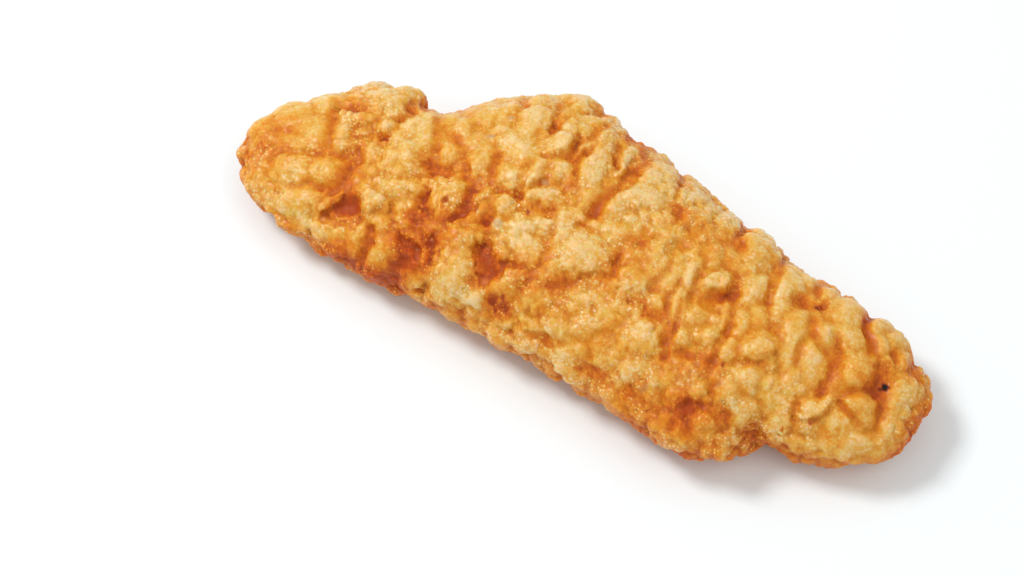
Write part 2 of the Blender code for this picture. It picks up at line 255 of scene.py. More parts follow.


# %% [markdown]
# ## Lumps, creases and flakes that are in their real places
#
# The largest features give this tender its own face, so they are placed one by one. A lump is a
# dome on an ellipse. A crease is a groove along a short line, and a pit is a crease that is as wide
# as it is long. A flake is a thin plate of batter that lifts towards one side and ends there in a
# lip, which casts a narrow shadow. They could be sculpted, but in tables each of them can be moved
# by itself. The rows of each table run from left to right.

# %% Named features
# x, y, half length along x, half width, turn in degrees, height
LUMPS = (
    (-61.2, 7.4, 2.4, 2.2, 0, 1.8),
    (-60.6, 6.5, 2.6, 3.6, 0, 1.2),
    (-58.8, 11.6, 2.6, 2.2, 0, 2),
    (-58.6, -1.5, 2.6, 3.2, 0, 1.2),
    (-57.2, 10.5, 3, 3.4, 30, 1.5),
    (-56, -6, 3.2, 1.8, -20, 1),
    (-55.8, 5, 2.4, 2.2, 0, 0.9),
    (-55, 15.2, 2.6, 2.2, 0, 1.8),
    (-53.4, -0.8, 3.2, 2.4, 0, 1.3),
    (-52.6, 14.6, 3.2, 3, 20, 1.6),
    (-52.2, 6.3, 2.9, 2.9, 0, 1.2),
    (-51, 18, 2.2, 2, 0, 1.4),
    (-49.4, -5, 3.2, 1.6, 8, 1.5),
    (-47.2, 0, 2.8, 2.1, 0, 1.6),
    (-47, -8, 2.8, 1, -8, 1.1),
    (-46.6, 20.8, 3.2, 3, 0, 4),
    (-46.6, 7.6, 1.4, 3, 0, 1.5),
    (-45.2, 11.5, 2.4, 1.4, 5, 1.6),
    (-45, 19.4, 2, 2, 0, 1.8),
    (-43.8, 8.4, 0.8, 1.6, 0, 1),
    (-42.2, 16.8, 3.2, 3.2, 0, 2),
    (-42.2, -8.8, 2.4, 1.1, -10, 1.1),
    (-40.8, 5.6, 1.3, 2.4, 10, 0.9),
    (-40.2, 11.4, 1.3, 1.3, 0, 1.6),
    (-39.6, 20.4, 2.4, 2.4, 0, 2.8),
    (-37.4, -8.6, 2.4, 1.5, 0, 1.3),
    (-36.8, -2.8, 2.2, 2.4, 40, 1.9),
    (-34.6, 6, 3, 3.4, 0, 2.1),
    (-34.5, 13.8, 2.6, 2.8, 0, 1.6),
    (-34, -5.6, 1.7, 1.7, 0, 1.2),
    (-33.4, 0.6, 3.6, 1.9, 5, 1.7),
    (-32.8, 10.6, 1.9, 1.9, 0, 1.3),
    (-31.8, -9.2, 2.3, 1.6, 0, 1.5),
    (-30.5, -3.3, 1.6, 1.9, 0, 1.3),
    (-30, 17.5, 2.4, 4, 0, 0.8),
    (-28.8, 2.9, 1, 1, 0, 1.1),
    (-28.2, -6.6, 1.8, 1.4, 0, 0.9),
    (-27.9, 9.3, 1.6, 1.5, 0, 1.3),
    (-27.1, -0.6, 0.9, 1.2, 0, 1.1),
    (-27, 15, 1.8, 2.2, 0, 1.4),
    (-25.5, 21, 3, 4.6, 10, 1.2),
    (-25, -10.6, 2.8, 2.4, 0, 1.2),
    (-24.8, 1.2, 2.1, 3.5, 22, 2.4),
    (-24.2, -4.2, 1.8, 1.4, 0, 0.9),
    (-24, 12.6, 2, 1.8, 0, 0.9),
    (-21.9, 8.5, 2.3, 2.6, 0, 1.4),
    (-21.2, 22.6, 1.9, 4.6, 0, 1.1),
    (-20, 14.8, 2, 2.2, 0, 1),
    (-19.8, -4.6, 2.6, 2.6, 0, 2.7),
    (-19.4, 2.8, 1.2, 1.6, 0, 1.6),
    (-19.4, -9.4, 3, 3.4, 0, 2.7),
    (-18.5, 0.6, 0.9, 1.6, 0, 1.6),
    (-16.3, 8, 2.5, 2.2, 0, 1.5),
    (-16.2, 22.6, 2.2, 5.4, 0, 1.6),
    (-16, 13, 2.8, 2.4, 0, 1.4),
    (-15.4, 2.8, 1.8, 1.8, 0, 1.2),
    (-14.8, -1, 1.2, 1.4, 0, 1.1),
    (-14.7, -12, 2.2, 1.9, 0, 2.2),
    (-13.6, -3.2, 1, 0.9, 0, 1.3),
    (-13, 9.6, 1.4, 3.2, 0, 1.3),
    (-12.8, -5.2, 1.3, 1.2, 0, 1.6),
    (-11, 28, 3.2, 2.4, 20, 2.4),
    (-10.3, 17.4, 1.7, 3.4, -12, 1.8),
    (-10, -0.8, 2.4, 2.8, 0, 1.5),
    (-10, 6, 2.6, 1.2, 10, 1),
    (-9.7, -9.4, 2.8, 1.7, 40, 1.9),
    (-9.4, 11.8, 1.9, 1.9, 0, 1.3),
    (-8.2, -3.8, 2.1, 2.3, 0, 1.4),
    (-7.4, 22.4, 1.8, 2.8, 0, 1.1),
    (-7, 1, 1.4, 1, 10, 1.2),
    (-7, -10.3, 0.9, 0.6, 10, 1),
    (-6.6, 17.4, 0.9, 2.2, -25, 0.9),
    (-5, 26, 1.6, 3, 0, 1.5),
    (-4.2, -10.2, 2.2, 1.7, 15, 1.9),
    (-4, 12.4, 1.8, 3.2, 0, 1.3),
    (-3.9, -0.4, 1.9, 4.4, 0, 1.3),
    (-3.6, -5.6, 1.8, 2.4, 0, 1.4),
    (-3.2, 18.6, 1.7, 5.6, -4, 1.6),
    (-2.6, 9, 1.4, 2.4, 0, 1.1),
    (0.7, 18.4, 1.1, 3.2, 0, 1.3),
    (0.8, -12.8, 2.4, 1.9, 0, 1.6),
    (0.9, -2.4, 3.5, 3.3, 10, 2),
    (2.2, 8.6, 2, 2.4, 0, 1.3),
    (2.6, -8.2, 2.2, 1.4, 20, 1),
    (3.2, 3.8, 2.4, 2.2, 0, 0.9),
    (4, -16.6, 2.8, 1.5, -10, 1.2),
    (4.2, -12, 2.6, 2.3, 0, 1.5),
    (5.8, 26.4, 1.9, 1.7, 0, 2.4),
    (6.3, 24.4, 2, 2.6, 0, 3),
    (6.4, 6.4, 2.4, 1.6, 0, 0.8),
    (6.6, 11.8, 3.2, 2.2, 10, 1.5),
    (7.4, 17, 2.8, 4, 5, 1.7),
    (8.4, 1, 1.8, 1.8, 0, 1),
    (8.4, -9.4, 2.6, 2.4, 0, 1.2),
    (9.6, -3.4, 2.5, 2.7, 0, 1.6),
    (9.6, -14.6, 3, 1.8, -8, 1.1),
    (10.6, 9.2, 2, 1.9, 0, 1.1),
    (11.8, -8.2, 1.2, 0.9, 30, 1.1),
    (12.6, 1.4, 1.9, 4, 6, 1.5),
    (13.2, 21.8, 2.4, 2.6, 0, 3.2),
    (13.2, 8.2, 1.4, 1.6, 0, 1),
    (13.4, 17.4, 2.2, 3.4, 0, 1.3),
    (13.7, 24.3, 1.7, 1.5, 0, 1.7),
    (14.5, -11.3, 2.8, 2.8, 0, 2),
    (14.7, -4.6, 1.3, 1.5, 0, 1.4),
    (14.8, -16, 2.2, 2, 0, 1.3),
    (15.2, 12.2, 1.9, 2.2, 0, 1.3),
    (15.6, 0.4, 1.4, 4.2, -11, 1.4),
    (17.6, 15.4, 1.4, 2.8, 0, 1.1),
    (17.6, 5.4, 1.1, 1.8, 0, 1.1),
    (17.8, -12.6, 1.1, 1, 0, 1.5),
    (18.4, -16.4, 1.8, 1.8, 0, 1),
    (18.4, 9.8, 1.9, 2.2, 0, 1.1),
    (18.5, 1.6, 1.5, 3, 0, 1.5),
    (18.6, -4.4, 1.5, 3.4, 22, 1.6),
    (21, 14.2, 1.8, 3.6, 5, 1.4),
    (21.1, -9.2, 1.4, 1.5, 20, 1.6),
    (21.2, 6.4, 2, 2.4, 0, 1.3),
    (21.4, -15.6, 1.8, 1.6, 0, 1),
    (21.6, -5.2, 1.5, 1.5, 0, 1.6),
    (22.6, 1.5, 2.4, 1.3, 42, 1.5),
    (22.6, -6.4, 3.2, 4, 0, 0.8),
    (23.6, -4.6, 1.1, 1.1, 0, 1.2),
    (23.8, -14.6, 1.4, 1.7, 0, 1.3),
    (24.3, -8, 1.5, 1.9, 10, 1.8),
    (24.4, 6.6, 1.3, 2, 0, 1.1),
    (24.6, -24, 4, 2, -12, 2.2),
    (25.3, -3.4, 1, 2.2, 5, 1.4),
    (26.6, -16.6, 1.7, 1.8, 0, 1.4),
    (26.9, 12.4, 2.4, 4.4, 8, 2.1),
    (27.2, 6.4, 1.4, 1.7, 0, 1.2),
    (28.5, -8.4, 1.6, 2, 12, 1.6),
    (28.8, -20.8, 2.4, 2, 0, 1.7),
    (28.9, 2.9, 1.8, 2.4, 0, 1.5),
    (29, -4, 1.7, 2.2, 0, 1.5),
    (31.2, -15, 1.6, 1.9, 0, 1.7),
    (31.5, -2.2, 1.5, 2.6, 0, 1.4),
    (31.6, -22.6, 2.2, 2.2, 0, 2.8),
    (32.6, -6.6, 2.7, 2.5, 30, 2.2),
    (33.2, -11.8, 2.1, 2.5, 0, 1.7),
    (33.6, 6.2, 2.2, 3.3, 0, 1.8),
    (34, -20, 1.4, 1.6, 0, 1.2),
    (34.4, 0.8, 1.8, 2.2, 0, 1.3),
    (34.6, -16, 2.1, 1.6, 10, 1.4),
    (35.6, -8.7, 1.1, 1.3, 0, 1.3),
    (36.3, 8.8, 1.7, 1.4, 0, 1.4),
    (36.8, -11.9, 1.7, 2.5, 0, 1.8),
    (37.4, -2.9, 2, 4.2, 0, 1.8),
    (39, -16.4, 2.2, 1.3, 15, 1.2),
    (39.4, -8.8, 1.6, 2.2, 0, 1.2),
    (39.6, -13.4, 1.7, 2.3, 0, 1.4),
    (41, 7.4, 1.6, 2.6, 0, 1.3),
    (41.4, -4.6, 1.5, 2.8, 8, 1.5),
    (42.2, 0, 2.2, 1.7, -20, 1.6),
    (43, -6.4, 1, 1.4, 0, 1),
    (43.6, -14.8, 1.8, 1, 20, 1.1),
    (44.7, -11.6, 3, 1.4, 38, 1.9),
    (44.8, 6.2, 2.3, 3, 0, 1.6),
    (45, -17.6, 3, 1.5, 0, 1.2),
    (46.4, 1.4, 2.7, 2, -15, 1.4),
    (46.4, -12.7, 1.5, 0.7, 40, 1.6),
    (47.6, -1.4, 1.8, 0.8, -15, 1.7),
    (48.6, -4.6, 2.2, 3.4, -28, 2.3),
    (49.2, -12.4, 2.5, 1.7, 10, 1.2),
    (50.5, 6.8, 1.6, 3.4, 0, 2.2),
    (51, -0.8, 1, 0.8, 0, 1.1),
    (51.2, -8.9, 2.3, 1.9, -15, 2),
    (51.5, 2.4, 1.1, 1.6, 20, 1.7),
    (51.8, -14.6, 4.6, 1.4, 14, 1.9),
    (53.3, 6.6, 1.7, 3, 0, 2.3),
    (53.4, 0.5, 1.3, 0.9, 10, 1.6),
    (55.4, 2.4, 1.1, 1.8, -10, 1.7),
    (56.5, -13.4, 2.4, 1.8, 0, 1.3),
    (57, -3.8, 2.3, 3.2, 0, 1.5),
    (57.4, -9.4, 2, 2.6, 0, 1.3),
)

# from x, y to x, y, half width, depth
CREASES = (
    (-57, 2.8, -50, 2.6, 0.5, 0.8),
    (-50.6, -3, -46, -3, 0.4, 0.9),
    (-50.2, 13.2, -46, 13.4, 0.6, 1.4),
    (-50, 2.6, -44, 3.2, 0.6, 1.1),
    (-49.6, 11.8, -48.8, 7, 0.6, 1),
    (-44.6, -6.6, -41.6, -7, 0.4, 1.5),
    (-43.4, 7.6, -42.2, 3.6, 0.8, 1.1),
    (-42.6, 3.6, -44.4, -3.6, 1, 1.3),
    (-42.2, -5, -39.8, -4.4, 1.5, 2.6),
    (-41.6, 8.6, -42.2, 6.6, 0.5, 1),
    (-41.6, -7, -38, -6.2, 0.4, 1.5),
    (-40.6, 9.4, -39.6, 9, 0.5, 1.4),
    (-38.6, -5.8, -34.6, -3.6, 0.5, 1.1),
    (-38.4, 19, -37.4, 14.6, 0.8, 1.5),
    (-37.4, 14.6, -39.2, 12.8, 0.6, 1.2),
    (-36, 23, -35.4, 17, 0.8, 1.6),
    (-35.4, -7.2, -34.6, -11.4, 0.6, 1.8),
    (-32.2, 15, -31, 11, 0.5, 1.1),
    (-31.6, 7.2, -26.6, 5.2, 0.9, 1.4),
    (-31, 11, -29.4, 7.6, 0.5, 0.9),
    (-31, -12.2, -27.8, -10.6, 0.8, 2),
    (-29.8, -7.4, -26.8, -8.4, 0.9, 2.4),
    (-28.4, 0.6, -27.6, -3.6, 0.9, 1.2),
    (-26.6, 5.2, -19, 4.9, 0.7, 1.2),
    (-26, 9.6, -23.6, 5.6, 0.6, 1),
    (-24.7, 0.6, -24.4, -0.4, 0.3, 1.6),
    (-24, -9.4, -24.4, -6, 0.6, 1.6),
    (-21.4, 4.4, -21.4, -2, 1, 1.6),
    (-21.4, -2, -17.4, -2.2, 0.7, 1.2),
    (-19.3, 10.6, -18.9, 5.4, 0.6, 1.2),
    (-19, 4.9, -13.6, 4.8, 0.6, 1.1),
    (-18.8, 27, -18.6, 19.5, 0.7, 0.9),
    (-17, 3.6, -16.8, -1.4, 0.5, 1.1),
    (-16.4, -10.2, -13.2, -10, 0.4, 1.3),
    (-15.6, -5.2, -13.6, -8.6, 1.2, 2),
    (-15.4, 10.4, -14.2, 6.6, 0.5, 1),
    (-13.6, 4.8, -11.2, 8, 0.5, 1),
    (-13.6, -8.6, -12.2, -8.6, 0.8, 1.6),
    (-13.4, 27, -12.4, 22.4, 0.6, 1.1),
    (-12.6, 22.4, -12.2, 15, 0.5, 1),
    (-12.6, 2.4, -7, 4.3, 0.4, 1.2),
    (-12, -6.6, -6, -6.8, 0.5, 1),
    (-11.6, -12.3, -9.2, -12.6, 0.5, 1.4),
    (-11.2, 8, -11.2, 11.6, 0.4, 0.9),
    (-9.6, 14, -12.2, 13.4, 0.4, 1.2),
    (-8.4, 15.6, -9.6, 14, 0.5, 1.4),
    (-8.2, -0.6, -6, -0.8, 0.4, 1),
    (-7.6, 19.4, -8.4, 15.6, 0.8, 1.5),
    (-6.6, 14.2, -6, 10.2, 0.5, 1.2),
    (-6, 10.2, -6.8, 7.8, 0.5, 1),
    (-6, 0.6, -6, -6, 0.4, 0.9),
    (-5.2, 25, -5, 20.4, 0.5, 1.3),
    (-5, 20.4, -4.4, 18.6, 0.5, 1.2),
    (-5, -14.4, 0, -15.2, 0.4, 1.2),
    (-4.6, 18.6, -6.6, 14.2, 0.6, 1.3),
    (-2.8, -7.6, 1.6, -6.2, 0.5, 1.3),
    (-2.2, 23, -1, 19.8, 0.5, 1.2),
    (-1, 19.8, -0.6, 15.6, 0.4, 1.1),
    (-0.6, 5.4, -1.8, 2.4, 0.4, 0.8),
    (0.4, 11, -0.6, 5.4, 0.8, 1.4),
    (1.6, -6.2, 5.4, -3.8, 0.5, 1.3),
    (2.6, 14.8, 0.4, 11, 0.8, 1.6),
    (3.9, 16.4, 3, 15.2, 1, 2),
    (4.3, 20.4, 3.9, 16.6, 0.6, 1.5),
    (5.4, 0, 6.4, -3.4, 0.9, 0.9),
    (5.6, -17.6, 11.6, -18.2, 0.4, 0.9),
    (8, -18, 8.2, -20, 0.5, 0.9),
    (8.9, 25, 9.8, 21.4, 0.5, 1.2),
    (9.2, 6.4, 9.5, 4.2, 0.5, 1),
    (9.8, 21.4, 11.2, 17, 0.5, 1.2),
    (11, -7, 16.6, -7.2, 0.5, 1.3),
    (11.2, 17, 11.6, 13.4, 0.4, 0.8),
    (12.3, 12.6, 12.5, 10.8, 0.6, 1.2),
    (13, 5.4, 14.2, 2.6, 0.3, 1),
    (14.2, 2.6, 13.2, -3.4, 0.3, 1),
    (16, -4.4, 17.4, -7.4, 0.5, 1.2),
    (17, -1, 15.8, -4.4, 0.4, 1.1),
    (17.6, -7.6, 19.4, -13.6, 0.7, 1.5),
    (18.8, -3.6, 19.2, -9.6, 0.6, 1.2),
    (20.2, 3.6, 19.9, -3, 0.5, 0.8),
    (20.6, -12, 26.8, -11.6, 0.5, 1.1),
    (21, -21.8, 24.6, -22, 0.5, 1.1),
    (22.2, -2.2, 25.9, 0.8, 0.8, 1.3),
    (23.5, 17, 23.5, 13, 0.5, 1.3),
    (23.6, 13, 24.6, 10.2, 0.5, 1.5),
    (24.6, -19.6, 26.2, -21.6, 1, 2.2),
    (26.5, 1, 26.9, -4.4, 0.6, 0.7),
    (26.9, -4.4, 27, -11.8, 0.9, 0.9),
    (27, -18.9, 31.6, -18.6, 0.5, 1.6),
    (29.8, 15, 31.6, 8.4, 0.5, 1.3),
    (31, 5, 32, 0, 0.6, 1),
    (31.6, 8.4, 31, 5, 0.5, 1.3),
    (31.6, -20.2, 30.6, -23, 0.6, 1.6),
    (34, -8.6, 31.8, -9.3, 0.4, 1.4),
    (35.2, -6.4, 34, -8.6, 0.4, 1.6),
    (36.4, 3.8, 38.4, 4, 0.9, 1.4),
    (36.4, -17, 37.4, -22, 1.2, 2),
    (38.6, 8.2, 38.5, 5.4, 0.4, 1),
    (39.4, -2, 39.6, -7, 0.6, 0.8),
    (39.5, 4.2, 40, 4.8, 0.4, 1.9),
    (40, 1.2, 40.8, -1.6, 0.5, 1.2),
    (40.8, -1.6, 43.4, -3.6, 0.4, 1.1),
    (41.5, -12, 42.2, -15.4, 0.5, 1.4),
    (43.8, -8, 44.2, -9, 0.5, 1.5),
    (44.2, 0, 45.6, -3.2, 1, 1),
    (45.4, -6.6, 47.4, -9.2, 0.9, 1.1),
    (45.6, -3.2, 45.4, -6.6, 1.2, 1.1),
    (47.2, -10.4, 44.6, -13.6, 0.4, 1.3),
    (47.6, 8.6, 48.8, 4.4, 0.6, 1.9),
    (48, -10.4, 51.6, -12, 0.4, 1.2),
    (48.8, 4.4, 50.2, 0, 0.6, 1.7),
    (52.2, -4.8, 49, -8, 1, 1.2),
    (52.6, -0.8, 52.2, -4.8, 1.2, 1.2),
    (53.6, 1.5, 54, 1.2, 0.4, 1.3),
    (54.4, -5.6, 54.8, -11.8, 0.8, 0.5),
    (57, 5, 57.6, 0.4, 1, 1.2),
)

# x, y, half width of the lip, half depth, direction of the lip in degrees, height
FLAKES = (
    (-43.7, -4.3, 2.1, 0.9, -36, 1.2),
    (-36.8, -3, 2.6, 1.8, -48, 0.9),
    (-10.8, 16.8, 2.6, 1.8, -35, 0.7),
    (22.8, 1.4, 2.2, 1.3, -48, 0.9),
    (32.8, -7, 2.4, 2, -40, 0.9),
    (44.6, -12, 2.6, 1.2, -50, 0.7),
    (48.4, -5.2, 2.2, 2.6, -80, 0.9),
)

# x, y, half length along x, half width, how much smoother than the rest, from 0 to 1
SMOOTH_ZONES = (
    (-57, 10, 9, 8, 0.8),
    (-50, -2, 7, 4, 0.4),
    (-43.5, 1.5, 3, 4.5, 0.6),
    (-41.2, -4.6, 3, 2.2, 0.9),
    (-33, 12, 5, 8, 0.4),
    (-22, 14, 11, 8, 0.7),
    (-6, 13, 6, 8, 0.3),
    (4, 12, 4, 4, 0.3),
    (16.5, -1, 4, 6, 0.5),
    (22.5, -6, 4, 6, 0.8),
    (24, 8, 8, 5, 0.5),
    (35, -2, 8, 13, 0.8),
    (48, -2, 9, 12, 0.8),
    (53, -14, 8, 5, 0.9),
    (53, 6, 5, 5, 0.7),
)
print(len(LUMPS), "lumps,", len(CREASES), "creases,", len(FLAKES), "flakes")


# %% Feature functions
LUMP_SPREAD = 3.2
LUMP_GAIN = 1.04
STEEPEST_LUMP, LOWEST_LIMIT = 0.85, 0.3
CREASE_WIDENING, CREASE_EXTRA = 1.4, 0.2
OIL_AND_SHADE_WIDENING, OIL_AND_SHADE_EXTRA = 1.6, 0.9
DEEP_CREASE = 1.8


def top_height(x, y):
    """Height of the form's upper side over a point of the plan."""
    far, near, widest, crown = (through_stations(column, x) for column in (1, 2, 3, 4))
    cap = np.maximum(end_cap(x), 0.05)
    across = np.clip((y - (far + near) / 2) / ((far - near) / 2 * cap), -1, 1)
    dome = (1 - np.abs(across) ** TOP_FULLNESS) ** (1 / TOP_FULLNESS)
    return widest + crown * (1 + LEAN_TO_FAR_SIDE * across) * cap * dome


def in_the_turn(gap, turn):
    """The plan distances along a turned axis and across it."""
    c, s = math.cos(math.radians(turn)), math.sin(math.radians(turn))
    return gap[..., 0] * c + gap[..., 1] * s, gap[..., 1] * c - gap[..., 0] * s


def lump_relief(points):
    """Highest of the domes over each point, and how near the point is to a dome's middle, from 0 to 1.
    A dome is 1 minus the squared distance from its middle, counted in half widths. Narrow domes are
    kept low, so that none of them turns into a spike."""
    highest = np.zeros(points.shape[:-1])
    nearness = np.zeros(points.shape[:-1])
    for x, y, along, across, turn, height in LUMPS:
        gap = points - np.array((x, y, top_height(np.array(x), np.array(y))))
        a, b = in_the_turn(gap, turn)
        away = (a / along) ** 2 + (b / across) ** 2 + (gap[..., 2] / (2.2 * max(along, across))) ** 2
        dome = np.clip(1 - away / LUMP_SPREAD, 0, 1)
        top = min(LUMP_GAIN * height, STEEPEST_LUMP * min(along, across) + LOWEST_LIMIT)
        highest = np.maximum(highest, top * dome)
        nearness = np.maximum(nearness, dome)
    return highest, nearness


def crease_relief(points):
    """Depth of the deepest groove at each point, and the wider band along it, from 0 to 1, which the
    colour darkens both as oil in the crease and as painted shade. A groove is a squared parabola of
    the distance from its line."""
    deepest = np.zeros(points.shape[:-1])
    oil_and_shade_band = np.zeros(points.shape[:-1])
    for x1, y1, x2, y2, half_width, depth in CREASES:
        start, run = np.array((x1, y1)), np.array((x2 - x1, y2 - y1))
        gap = points[..., :2] - start
        share = np.clip(gap @ run / (run @ run), 0, 1)
        away = np.linalg.norm(gap - share[..., None] * run, axis=-1)
        valley = np.clip(1 - (away / (CREASE_WIDENING * half_width + CREASE_EXTRA)) ** 2, 0, 1)
        deepest = np.maximum(deepest, depth * valley**2)
        band = np.clip(1 - (away / (OIL_AND_SHADE_WIDENING * half_width + OIL_AND_SHADE_EXTRA)) ** 2, 0, 1)
        oil_and_shade_band = np.maximum(oil_and_shade_band, min(depth / DEEP_CREASE, 1.0) * band)
    return deepest, oil_and_shade_band


def ovals(points, table):
    """Sum of soft ovals in the plan, each fading out at its edge, counted on the shown side."""
    total = np.zeros(points.shape[:-1])
    for x, y, along, across, amount in table:
        away = ((points[..., 0] - x) / along) ** 2 + ((points[..., 1] - y) / across) ** 2
        total += amount * (1 - smooth_step(away, 0.15, 1.6))
    return total * smooth_step(points[..., 2], 3.0, 8.0)


def flake_relief(points):
    """Height of the plates, in mm. A plate is flat across, and rises from a third of its height at
    the back to the whole of it at the lip."""
    highest = np.zeros(points.shape[:-1])
    for x, y, half_lip, half_depth, lip_way, height in FLAKES:
        gap = points - np.array((x, y, 0.0))
        towards, beside = in_the_turn(gap, lip_way)
        away = (towards / half_depth) ** 2 + (beside / half_lip) ** 2
        plate = smooth_step(1.25 - away, 0, 0.45)
        rise = 0.35 + 0.65 * np.clip(0.5 + 0.5 * towards / half_depth, 0, 1)
        highest = np.maximum(highest, height * plate * rise)
    return highest


# %% [markdown]
# ## Raising the crust
#
# Each layer of relief is raised along the normals of the layer before it. Small lumps then grow
# sideways out of the flanks of large ones, as real batter does, which a single height map can't do.
# The layers of small blisters are sunk by about half their height, so that they add no thickness.

# %% Layers
# size, height, seed, how much longer across the tender, roundness
LARGE_BLISTERS = (6.6, 1.5, 11, 2.0, 1.0)
SMALLER_BLISTERS = (4.2, 0.7, 23, 2.2, 1.0)
CROWDED_BLISTERS = (3.3, 1.15, 37, 1.5, 0.6)
CROWDED_SUNK = 0.62
# size, seed, roundness
SMALL_BLISTERS = (1.6, 61, 0.6)
SMALL_HEIGHT, SMALL_SUNK = 0.6, 0.28
FINE_BLISTERS = (0.85, 81, 0.7)
FINE_HEIGHT, FINE_SUNK = 0.28, 0.13

RIDGED_FROM, RIDGED_TO = 2.0, 14.0
FLAKE_SHARE = 0.75


def warped(points, size, reach, seed):
    """Points pushed about by slow noise, so that nothing that is drawn on them stays regular."""
    push = [smooth_noise(points, size, seed + axis) for axis in range(3)]
    return points + reach * np.stack(push, axis=-1)


def blistered(points, size, height, seed, longer, roundness):
    """Round blisters on the left half of the tender, and long ones lying across it on the right."""
    ridged = smooth_step(points[..., 0], RIDGED_FROM, RIDGED_TO)
    squeezed = points * np.array((1.25, 1 / longer, 1.0))
    round_ones = blisters(points, size, seed, roundness)
    long_ones = blisters(squeezed, size, seed + 7, roundness)
    return height * (round_ones * (1 - ridged) + long_ones * ridged)


def large_relief(points, normals):
    """The layer that the plain model has too: lumps, creases and blisters of 4 mm and more. It comes
    with the masks, from 0 to 1, and the grooves, in mm, that the later steps need."""
    facing_up = smooth_step(normals[..., 2], -0.35, 0.15)
    cover = smooth_step(normals[..., 2], 0.1, 0.6)
    calm_by_chance = 0.5 * smooth_step(smooth_noise(points, 7.0, 201), 0.0, 0.6)
    calm = np.clip(calm_by_chance + ovals(points, SMOOTH_ZONES), 0, 1)

    pushed = warped(points, 9.0, 1.6, 91)
    rough = blistered(pushed, *LARGE_BLISTERS) + blistered(pushed, *SMALLER_BLISTERS)
    wandering = warped(warped(points, 5.0, 0.9, 401), 2.0, 0.4, 411)
    lumps, nearness = lump_relief(wandering)
    raised = np.maximum(rough * (1 - cover * (0.35 + 0.3 * calm)), lumps * facing_up)
    plates = FLAKE_SHARE * flake_relief(wandering) * facing_up

    uneven = 0.7 + 0.3 * smooth_noise(points, 2.5, 421)
    deepest, oil_and_shade_band = crease_relief(wandering)
    grooves = deepest * (0.12 + 0.28 * uneven) * facing_up
    masks = {"cover": cover, "grooves": grooves, "nearness": nearness, "calm": calm, "oil_and_shade_band": oil_and_shade_band * cover}
    return raised + plates - grooves, masks


def lifted(surface, heights):
    """The surface moved outwards by a height at each point."""
    return surface + normals_of(surface) * heights[..., None]


def raise_crust(grid):
    """The finished surface, and the masks of the large layer."""
    large, masks = large_relief(grid, normals_of(grid))
    surface = lifted(grid, large)

    crowded = blistered(warped(surface, 4.0, 0.8, 131), *CROWDED_BLISTERS)
    crowded = crowded * (1 - 0.5 * masks["calm"]) * (1 - 0.45 * masks["cover"])
    surface = lifted(surface, crowded - CROWDED_SUNK)

    on_top = smooth_step(masks["nearness"], 0.6, 0.9) * masks["cover"]
    share = (1 - 0.7 * masks["calm"]) * (1 - 0.3 * on_top)
    small = SMALL_HEIGHT * blisters(warped(surface, 1.8, 0.4, 171), *SMALL_BLISTERS) - SMALL_SUNK
    surface = lifted(surface, small * share)

    fine = FINE_HEIGHT * blisters(warped(surface, 1.0, 0.2, 181), *FINE_BLISTERS) - FINE_SUNK
    surface = lifted(surface, fine * share)
    surface[..., 2] = np.maximum(surface[..., 2], 0)
    return surface, masks


surface, masks = raise_crust(form)
low, high = surface.min(axis=(0, 1)), surface.max(axis=(0, 1))
middle = np.array((MIDDLE_X, MIDDLE_Y, 0.0))
print("crust box, mm:", np.round(low - middle, 2), np.round(high - middle, 2))

# %% [markdown]
# ## Reading the shape back for its colours
#
# The tops of the lumps stay pale gold, while the creases turn orange and deep pits go red-brown.
# This is partly the oil that the creases hold, and partly painted shade in the hollows and painted
# highlight on the tops. This could be painted by hand, but each change of shape would spoil the
# paint. So the colour comes from the shape itself. A point's hollowness is how far it lies under the
# average of the surface round it, at three scales.

# %% Hollowness
NEAR_STEPS, MID_STEPS, WIDE_STEPS = 6, 40, 160


def hollowness(points, steps):
    """How far each point lies under its blurred surroundings, in mm along the normal."""
    smoothed = np.stack([blurred(points[..., axis], steps) for axis in range(3)], axis=-1)
    return np.sum((smoothed - points) * normals_of(smoothed), axis=-1)


near_hollow = hollowness(surface, NEAR_STEPS)
mid_hollow = hollowness(surface, MID_STEPS)
wide_hollow = hollowness(surface, WIDE_STEPS)
for name, values in (("near", near_hollow), ("mid", mid_hollow), ("wide", wide_hollow)):
    print(name, "hollowness, mm:", np.round(np.percentile(values, (2, 25, 50, 75, 98)), 3))

# %% [markdown]
# ## The crust as a mesh
#
# The rings are joined by quads, and each tip is closed by a fan of triangles round one point. A
# remesh would even out the faces, but it would lose the numbers that the grid carries.

# %% Crust mesh
def sheet_faces(rings, sides):
    """Quads between the rings, and fans at both tips, as lists of vertex numbers."""
    first = 1 + np.arange(rings - 2)[:, None] * sides
    here = first + np.arange(sides)[None, :]
    after = first + (np.arange(sides)[None, :] + 1) % sides
    quads = np.stack([here, after, after + sides, here + sides], axis=-1).reshape(-1, 4)
    start = 1 + np.arange(sides)
    last = 1 + (rings - 2) * sides
    end = last + np.arange(sides)
    left = [(0, int(b), int(a)) for a, b in zip(start, np.roll(start, -1))]
    tip = 1 + (rings - 1) * sides
    right = [(tip, int(a), int(b)) for a, b in zip(end, np.roll(end, -1))]
    return left + quads.tolist() + right


def without_pole_copies(values):
    """Grid values as one list, with each tip's ring reduced to a single value."""
    tail = values.shape[2:]
    return np.concatenate([values[:1, 0], values[1:-1].reshape(-1, *tail), values[-1:, 0]])


def new_piece(name, points, faces):
    """A smooth-shaded mesh object at the origin, from points in millimetres."""
    mesh = bpy.data.meshes.new(name)
    mesh.from_pydata((points * MM).tolist(), [], faces)
    mesh.shade_smooth()
    mesh.update()
    piece = bpy.data.objects.new(name, mesh)
    bpy.context.scene.collection.objects.link(piece)
    return piece


